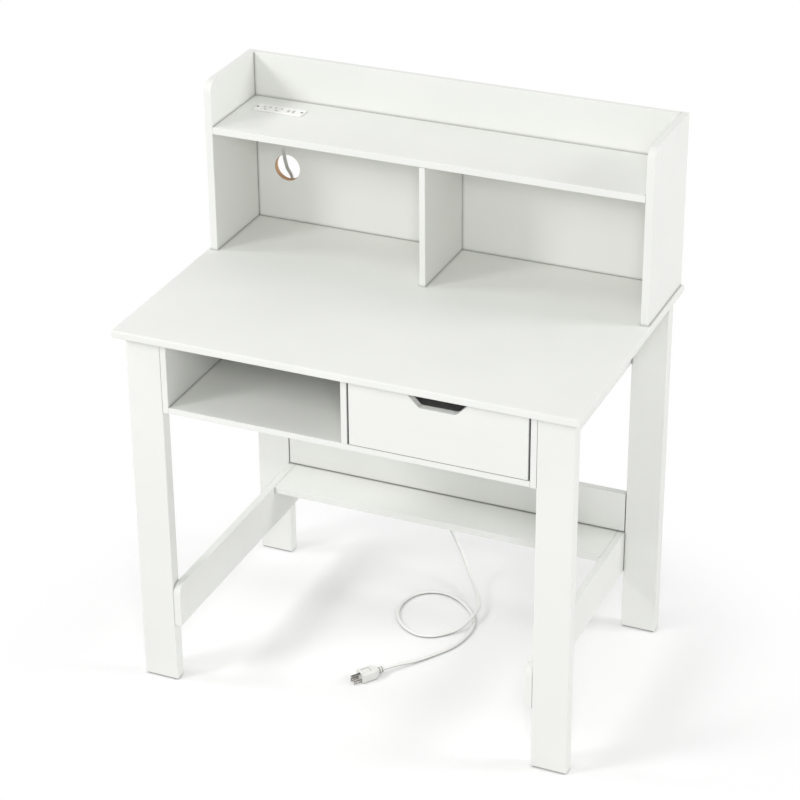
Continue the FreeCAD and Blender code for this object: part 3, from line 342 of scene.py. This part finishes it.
@dataclass(frozen=True)
class TurnedBeech(Finish):
    """Bare turned beech: a pale brown with short darker flecks along the grain."""

    fleck: str = "#B98F5F"
    fleck_mm: float = 1.2
    fleck_detail: float = 3.0
    fleck_stretch: Point = (1.0, 1.0, 0.2)

    def pattern(self, tree: Tree, shader: Node) -> None:
        """Adds the flecks, drawn out along one axis."""
        flecks = self.grain(tree, self.fleck_mm, self.fleck_detail, self.fleck_stretch)
        self.vary(tree, shader, flecks, self.fleck)


@dataclass(frozen=True)
class ZincPlate(Finish):
    """Electroplated zinc on steel: grey metal with a cloudy crystal bloom."""

    gloss_swing: float = 0.08
    bloom: str = "#8F9193"
    bloom_mm: float = 1.5
    bloom_detail: float = 3.0

    def pattern(self, tree: Tree, shader: Node) -> None:
        """Adds the bloom to the colour and the gloss."""
        self.vary(tree, shader, self.grain(tree, self.bloom_mm, self.bloom_detail), self.bloom)


@dataclass(frozen=True)
class PowderCoat(Finish):
    """White powder paint baked on steel sheet, with a pebbled skin about 1 mm across."""

    shade: str = "#DADAD5"
    pebble_mm: float = 1.2
    pebble_detail: float = 2.0
    pebble_depth_mm: float = 0.08
    pebble_share: float = 0.4

    def pattern(self, tree: Tree, shader: Node) -> None:
        """Adds the pebbles to the surface and a little of them to the tone.

        Args:
            tree: The material's node tree.
            shader: The surface shader.
        """
        pebble = self.grain(tree, self.pebble_mm, self.pebble_detail)
        self.vary(tree, shader, pebble, self.shade)
        self.emboss(tree, shader, pebble, self.pebble_depth_mm, self.pebble_share)


@dataclass(frozen=True)
class MouldedPlastic(Finish):
    """Injection-moulded plastic with the fine spark texture of its mould."""

    gloss_swing: float = 0.04
    shade: str = "#E2E2DD"
    spark_mm: float = 0.9
    spark_detail: float = 2.0
    spark_depth_mm: float = 0.02
    spark_share: float = 0.3

    def pattern(self, tree: Tree, shader: Node) -> None:
        """Adds the spark texture and a faint unevenness of tone.

        Args:
            tree: The material's node tree.
            shader: The surface shader.
        """
        spark = self.grain(tree, self.spark_mm, self.spark_detail)
        self.vary(tree, shader, spark, self.shade)
        self.emboss(tree, shader, spark, self.spark_depth_mm, self.spark_share)


@dataclass(frozen=True)
class SocketPlastic(MouldedPlastic):
    """Moulded plastic with a white face, and painted shade on all below the face, which shows only down its slots.
    """

    face_height: float = 0.0
    # Painted shade: the grey below the face, down the slots.
    slot_shade: str = "#8A8A87"

    def pattern(self, tree: Tree, shader: Node) -> None:
        """Adds the moulding's texture and paints shade on all that lies below the face.

        Args:
            tree: The material's node tree.
            shader: The surface shader.
        """
        super().pattern(tree, shader)
        height = add_node(tree, "ShaderNodeSeparateXYZ", {0: self.place(tree)}).outputs["Z"]
        below = add_node(tree, "ShaderNodeMath", {0: height, 1: self.face_height}, operation="LESS_THAN")
        self.turn(tree, shader, below.outputs[0], linear(self.slot_shade))


@dataclass(frozen=True)
class SoftVinyl(Finish):
    """Soft vinyl: satin white with fine draw lines and the odd scuff, and painted shade below and in its creases.
    """

    gloss_swing: float = 0.06
    shade: str = "#DEDEDA"
    draw_mm: float = 2.5
    draw_detail: float = 3.0
    draw_depth_mm: float = 0.05
    draw_share: float = 0.3
    # Painted shade: the grey of the underside, from where the surface starts to face down to where it is full.
    underside_shade: str = "#B2B2AE"
    underside_shade_from: float = 0.25
    underside_shade_full: float = -0.45
    # Painted shade in the grooves and wherever the vinyl meets another surface, and how far it reaches.
    crease_shade: str = "#2F2F2D"
    crease_shade_mm: float = 3.0

    def pattern(self, tree: Tree, shader: Node) -> None:
        """Adds the draw lines and scuffs, painted shade on the underside and painted shade in the grooves and
        creases.

        Args:
            tree: The material's node tree.
            shader: The surface shader.
        """
        scuff = self.grain(tree, self.draw_mm, self.draw_detail)
        self.vary(tree, shader, scuff, self.shade)
        under = add_node(tree, "ShaderNodeMapRange", {
            "Value": self.rise(tree), "From Min": self.underside_shade_from, "From Max": self.underside_shade_full,
        }, interpolation_type="SMOOTHSTEP")
        self.turn(tree, shader, under.outputs["Result"], linear(self.underside_shade))
        self.paint_corner_shade(tree, shader, self.crease_shade, self.crease_shade_mm)
        self.emboss(tree, shader, scuff, self.draw_depth_mm, self.draw_share)


@dataclass(frozen=True)
class NickelPlate(Finish):
    """Bright nickel on stamped brass, with fine rubbing marks on the rolled flats, darker on the faces that lie
    level.
    """

    gloss_swing: float = 0.08
    rub: str = "#A9A6A0"
    rub_mm: float = 0.8
    rub_detail: float = 3.0
    # The colour of the faces that lie level, facing up or down.
    level_face_tone: str = "#2E2D2B"

    def pattern(self, tree: Tree, shader: Node) -> None:
        """Adds the rubbing marks, and a darker tone on the faces that lie level, facing up or down.

        Args:
            tree: The material's node tree.
            shader: The surface shader.
        """
        self.vary(tree, shader, self.grain(tree, self.rub_mm, self.rub_detail), self.rub)
        level = add_node(tree, "ShaderNodeMath", {0: self.rise(tree)}, operation="ABSOLUTE")
        self.turn(tree, shader, level.outputs[0], linear(self.level_face_tone))


@cache
def material_of(finish: Finish) -> bpy.types.Material:
    """Builds each finish once and gives its material."""
    return finish.build()


LACQUER = SatinLacquer("satin_lacquer_on_fibreboard", "#ECEDE9", 0.6)
BEECH = TurnedBeech("turned_beech", "#D2AF80", 0.6)
ZINC = ZincPlate("zinc_plated_steel", "#B9BBBD", 0.38, metallic=1.0)
COATED_STEEL = PowderCoat("white_powder_coated_steel", "#E6E6E2", 0.45)
NYLON = MouldedPlastic("white_nylon", "#E9E8E2", 0.4, ior=1.53)
GLIDE_PLASTIC = MouldedPlastic("grey_polyethylene", "#4A4A48", 0.5, ior=1.51, shade="#3C3C3B")
STRIP_PLASTIC = MouldedPlastic("white_moulded_abs", "#FBFBF9", 0.3, ior=1.53, shade="#F1F1EE")
CORD_VINYL = SoftVinyl("white_soft_vinyl", "#FAFAF8", 0.45, ior=1.53, shade="#EEEEEB")
# The plug's underside is painted a little grey as shade.
PLUG_VINYL = SoftVinyl("white_moulded_vinyl", "#F1F1ED", 0.45, ior=1.53, shade="#E4E4E0", underside_shade="#C4C4C0")
DARK_SCREW = ZincPlate("blackened_screw_steel", "#7C7C7A", 0.45, metallic=1.0, bloom="#5A5A58")
NICKEL = NickelPlate("nickel_plated_brass", "#C9C6C0", 0.25, metallic=1.0)


def dress(nodes: tuple[str, ...], finish: Finish) -> None:
    """Gives carried-over nodes a finish.

    Args:
        nodes: The nodes' names.
        finish: The finish that they take.
    """
    for name in nodes:
        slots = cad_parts[name].data.materials
        slots.clear()
        slots.append(material_of(finish))
    LOG.info("%s: %s", finish.name, ", ".join(nodes))


@dataclass
class DeskCase:
    """The desktop, legs, cubby box, rails and foot board."""

    boards: tuple[str, ...] = (
        "desktop", "front_left_leg", "front_right_leg", "rear_left_leg", "rear_right_leg", "left_side_panel",
        "right_side_panel", "left_rail", "right_rail", "box_floor", "centre_divider", "box_back", "foot_board",
        "back_board",
    )
    glides: tuple[str, ...] = ("leg_glides",)
    dowels: tuple[str, ...] = ("dowels",)
    metal: tuple[str, ...] = ("cam_locks", "cam_bolts", "board_screws", "back_nails")

    def build(self) -> None:
        """Dresses the boards and what joins them."""
        dress(self.boards, LACQUER)
        dress(self.glides, GLIDE_PLASTIC)
        dress(self.dowels, BEECH)
        dress(self.metal, ZINC)


@dataclass
class Hutch:
    """The bookcase on the desktop, with the cable hole in its back."""

    boards: tuple[str, ...] = ("hutch_left_side", "hutch_right_side", "hutch_shelf", "hutch_divider")
    back: str = "hutch_back"
    hole_centre: Point = (-0.3635, 0.285, 0.867)
    hole_radius: float = 0.027

    def build(self) -> None:
        """Dresses the boards, the back with its raw hole wall apart."""
        dress(self.boards, LACQUER)
        drilled = DrilledLacquer("satin_lacquer_with_raw_hole", LACQUER.colour, LACQUER.roughness,
                                 hole_centre=self.hole_centre, hole_radius=self.hole_radius)
        dress((self.back,), drilled)


@dataclass
class Drawer:
    """The drawer and the runners on both of its sides."""

    boards: tuple[str, ...] = (
        "drawer_front", "drawer_left_side", "drawer_right_side", "drawer_back", "drawer_bottom",
    )
    dowels: tuple[str, ...] = ("drawer_dowels",)
    metal: tuple[str, ...] = (
        "drawer_cam_locks", "drawer_cam_bolts", "drawer_screws", "angle_screws", "angle_axles", "channel_screws",
        "channel_axles",
    )
    runners: tuple[str, ...] = (
        "left_runner_channel", "right_runner_channel", "left_runner_angle", "right_runner_angle",
    )
    rollers: tuple[str, ...] = (
        "left_front_roller", "right_front_roller", "left_rear_roller", "right_rear_roller",
    )

    def build(self) -> None:
        """Dresses the boards, runners and rollers."""
        dress(self.boards, LACQUER)
        dress(self.dowels, BEECH)
        dress(self.metal, ZINC)
        dress(self.runners, COATED_STEEL)
        dress(self.rollers, NYLON)


@dataclass
class PowerStrip:
    """The outlets and charging ports let into the hutch's shelf."""

    shell: tuple[str, ...] = ("strip_plate", "strip_housing")
    outlets: tuple[str, ...] = ("outlet_faces",)
    ports: tuple[str, ...] = ("usb_ports",)
    screws: tuple[str, ...] = ("plate_screws",)
    gland: tuple[str, ...] = ("cord_gland",)
    face_depth_mm: float = 0.8
    # Painted shade down the port mouths, kept nearly white.
    port_slot_shade: str = "#F0F0EC"

    def build(self) -> None:
        """Dresses the strip, with painted shade down the slots and mouths."""
        dress(self.shell, STRIP_PLASTIC)
        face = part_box(self.outlets[0])[1].z - self.face_depth_mm * MM
        outlet = SocketPlastic("white_socket_plastic", STRIP_PLASTIC.colour, STRIP_PLASTIC.roughness,
                               ior=STRIP_PLASTIC.ior, face_height=face)
        dress(self.outlets, outlet)
        dress(self.ports, replace(outlet, name="white_port_plastic", slot_shade=self.port_slot_shade))
        dress(self.screws, DARK_SCREW)
        dress(self.gland, CORD_VINYL)


@dataclass
class MainsCord:
    """The cord from the strip's gland to the plug on the floor."""

    diameter: float = 0.007
    length: float = 1.966
    stood_for: tuple[str, ...] = ("cord_drop", "cord_lay")
    plug: tuple[str, ...] = ("plug_relief", "plug_body")
    prongs: tuple[str, ...] = ("plug_blades", "plug_earth_pin")
    around_steps: int = 6
    along_steps: int = 10
    line_order: int = 3
    route_mm: tuple[Point, ...] = (
        (-343, 221, 953.5), (-343, 221, 927), (-350, 243, 895), (-358, 268, 869), (-363, 291, 851),
        (-364, 308, 825), (-355, 314, 776), (-319, 316, 700), (-283, 317, 611), (-245, 317, 524),
        (-206, 316, 438), (-165, 314, 354), (-121, 311, 271), (-75, 306, 190), (-21, 300, 106),
        (9, 290, 56), (29, 273, 31), (62, 230, 19), (81, 197, 17), (88, 173, 16.5), (87, 137, 16),
        (77, 106, 8), (57, 84, 3.5), (32, 61, 3.5), (0, 56, 3.5), (-36, 74, 3.5), (-63, 107, 3.5),
        (-73, 143, 3.5), (-66, 185, 3.5), (-42, 214, 3.5), (-4, 224, 3.5), (36, 208, 3.5), (65, 183, 3.5),
        (84, 160, 3.5), (95, 131, 3.5), (97, 92, 3.5), (87, 45, 3.5), (63, 6, 3.5), (37, -34, 5),
        (8, -68, 10.5), (-7.8, -90.2, 10.5),
    )

    def build(self) -> None:
        """Makes the cord in place of the model's cord pieces, dresses the plug on its end and logs its route
        points.
        """
        dress(self.plug, PLUG_VINYL)
        dress(self.prongs, NICKEL)
        cord = bpy.data.objects.new("mains_cord", self.draw())
        bpy.context.scene.collection.objects.link(cord)
        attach(cord, Body.DESK.value)
        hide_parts(*self.stood_for)
        LOG.info("mains_cord: %d route points", len(self.route_mm))

    def draw(self) -> bpy.types.Curve:
        """Draws the cord as one smooth round line along its route.

        Returns:
            The curve, with its finish.
        """
        data = bpy.data.curves.new("mains_cord", "CURVE")
        data.dimensions = "3D"
        data.bevel_depth = self.diameter / 2
        data.bevel_resolution = self.around_steps
        data.resolution_u = self.along_steps
        data.use_fill_caps = True
        spline = data.splines.new("NURBS")
        spline.points.add(len(self.route_mm) - 1)
        for point, place in zip(spline.points, self.route_mm):
            point.co = (*(part * MM for part in place), 1.0)
        spline.order_u = self.line_order
        spline.use_endpoint_u = True
        data.materials.append(material_of(CORD_VINYL))
        return data


@dataclass
class PhotoCamera:
    """The camera at the photograph's viewpoint, solved from the desk's corners."""

    eye: Point = (1.6761, -3.8721, 2.7946)
    azimuth_deg: float = 23.4807
    elevation_deg: float = 27.891
    roll_deg: float = -0.4467
    focal_points: float = 2541.9
    picture_points: float = 800.0
    sensor_mm: float = 36.0
    view_limit: float = 100.0

    def build(self) -> None:
        """Makes the camera and points it."""
        data = bpy.data.cameras.new("photo_camera")
        data.sensor_width = self.sensor_mm
        data.lens = self.sensor_mm * self.focal_points / self.picture_points
        data.clip_end = self.view_limit
        camera = bpy.data.objects.new("photo_camera", data)
        bpy.context.scene.collection.objects.link(camera)
        camera.matrix_world = Matrix.Translation(Vector(self.eye)) @ self.turn()
        bpy.context.scene.camera = camera

    def turn(self) -> Matrix:
        """Works out how the camera is turned.

        Returns:
            The rotation whose columns are the camera's right, up and back.
        """
        azimuth = math.radians(self.azimuth_deg)
        elevation = math.radians(self.elevation_deg)
        roll = math.radians(self.roll_deg)
        back = Vector((math.sin(azimuth) * math.cos(elevation), -math.cos(azimuth) * math.cos(elevation),
                       math.sin(elevation)))
        level = Vector((math.cos(azimuth), math.sin(azimuth), 0))
        upright = back.cross(level)
        right = level * math.cos(roll) + upright * math.sin(roll)
        up = upright * math.cos(roll) - level * math.sin(roll)
        return Matrix((right, up, back)).transposed().to_4x4()


@dataclass(frozen=True)
class SoftBox:
    """One soft studio light: where it stands, how wide it is, how strong and where it points."""

    name: str
    place: Point
    width: float
    watts: float
    aim: Point = (0.0, 0.0, 0.6)

    def build(self) -> None:
        """Hangs the light and points it."""
        data = bpy.data.lights.new(self.name, "AREA")
        data.shape = "DISK"
        data.size = self.width
        data.energy = self.watts
        lamp = bpy.data.objects.new(self.name, data)
        bpy.context.scene.collection.objects.link(lamp)
        lamp.location = self.place
        lamp.rotation_euler = (Vector(self.aim) - Vector(self.place)).to_track_quat("-Z", "Y").to_euler()


@dataclass
class Studio:
    """A pale floor, white surroundings and soft light from the front and both sides."""

    floor_half: float = 12.0
    floor_colour: str = "#F4F4F4"
    lift: float = 0.06
    sky: float = 0.6
    white_level: float = 1.0
    lit_centre: Point = (0.05, -0.15, 0.0)
    lit_radius: float = 0.45
    fade_radius: float = 0.9
    lights: tuple[SoftBox, ...] = (
        SoftBox("key_softbox", (-2.74, -2.84, 2.97), 1.2, 52.0),
        SoftBox("front_softbox", (1.68, -3.61, 2.9), 0.9, 45.0),
        SoftBox("left_softbox", (-3.14, -0.84, 3.85), 0.9, 30.0),
        SoftBox("right_softbox", (3.96, 1.06, 2.69), 1.6, 54.0),
    )

    def build(self) -> None:
        """Makes the floor, the surroundings and the lights."""
        self.lay_floor()
        self.surround()
        for light in self.lights:
            light.build()
        bpy.context.scene.view_settings.view_transform = "Standard"

    def seen(self, tree: Tree) -> Socket:
        """Gives one for what the camera sees, straight or in a reflection or through a clear thing.

        Args:
            tree: The node tree that takes the nodes.

        Returns:
            One for those rays, and zero for the ones that carry light.
        """
        path = add_node(tree, "ShaderNodeLightPath")
        mirrored = add_node(tree, "ShaderNodeMath", {
            0: path.outputs["Is Glossy Ray"], 1: path.outputs["Is Transmission Ray"],
        }, operation="MAXIMUM")
        seen = add_node(tree, "ShaderNodeMath", {
            0: path.outputs["Is Camera Ray"], 1: mirrored.outputs[0],
        }, operation="MAXIMUM")
        return seen.outputs[0]

    def lay_floor(self) -> None:
        """Lays the floor and keeps it apart from the desk."""
        half = self.floor_half
        corners = [(-half, -half, 0), (half, -half, 0), (half, half, 0), (-half, half, 0)]
        mesh = bpy.data.meshes.new("studio_floor")
        mesh.from_pydata(corners, [], [(0, 1, 2, 3)])
        mesh.materials.append(self.paint_floor())
        floor = bpy.data.objects.new("studio_floor", mesh)
        bpy.context.scene.collection.objects.link(floor)

    def paint_floor(self) -> bpy.types.Material:
        """Makes the floor's paint, which takes the desk's shadow and fades to white further off.

        Returns:
            The paint.
        """
        material = bpy.data.materials.new("pale_studio_floor")
        material.use_nodes = True
        tree = material.node_tree
        tree.nodes.clear()
        matte = add_node(tree, "ShaderNodeBsdfDiffuse", {"Color": linear(self.floor_colour)})
        seen = self.seen(tree)
        lift = add_node(tree, "ShaderNodeMath", {0: seen, 1: self.lift}, operation="MULTIPLY")
        glow = add_node(tree, "ShaderNodeEmission", {"Color": WHITE, "Strength": lift.outputs[0]})
        near = add_node(tree, "ShaderNodeAddShader", {0: matte.outputs[0], 1: glow.outputs[0]})
        place = add_node(tree, "ShaderNodeTexCoord")
        distance = add_node(tree, "ShaderNodeVectorMath", {
            0: place.outputs["Object"], 1: self.lit_centre,
        }, operation="DISTANCE")
        far = add_node(tree, "ShaderNodeMapRange", {
            "Value": distance.outputs["Value"], "From Min": self.lit_radius, "From Max": self.fade_radius,
        }, interpolation_type="SMOOTHSTEP")
        beyond = add_node(tree, "ShaderNodeMath", {0: far.outputs["Result"], 1: seen}, operation="MULTIPLY")
        white = add_node(tree, "ShaderNodeEmission", {"Color": WHITE, "Strength": self.white_level})
        mixed = add_node(tree, "ShaderNodeMixShader", {
            0: beyond.outputs[0], 1: near.outputs[0], 2: white.outputs[0],
        })
        add_node(tree, "ShaderNodeOutputMaterial", {"Surface": mixed.outputs[0]})
        return material

    def surround(self) -> None:
        """Sets white surroundings that light the desk at a plain level."""
        world = bpy.data.worlds.new("white_studio")
        bpy.context.scene.world = world
        world.use_nodes = True
        tree = world.node_tree
        tree.nodes.clear()
        level = add_node(tree, "ShaderNodeMapRange", {
            "Value": self.seen(tree), "To Min": self.sky, "To Max": self.white_level,
        })
        sky = add_node(tree, "ShaderNodeBackground", {"Color": WHITE, "Strength": level.outputs["Result"]})
        add_node(tree, "ShaderNodeOutputWorld", {"Surface": sky.outputs[0]})


def main() -> None:
    """Builds every part of the scene in order."""
    logging.basicConfig(level=logging.INFO, format="%(name)s %(message)s")
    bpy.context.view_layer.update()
    for assembly in (PhotoCamera(), MainsCord(), DeskCase(), Hutch(), Drawer(), PowerStrip(), Studio()):
        assembly.build()
        LOG.info("%s built", type(assembly).__name__)


if __name__ == "__main__":
    main()
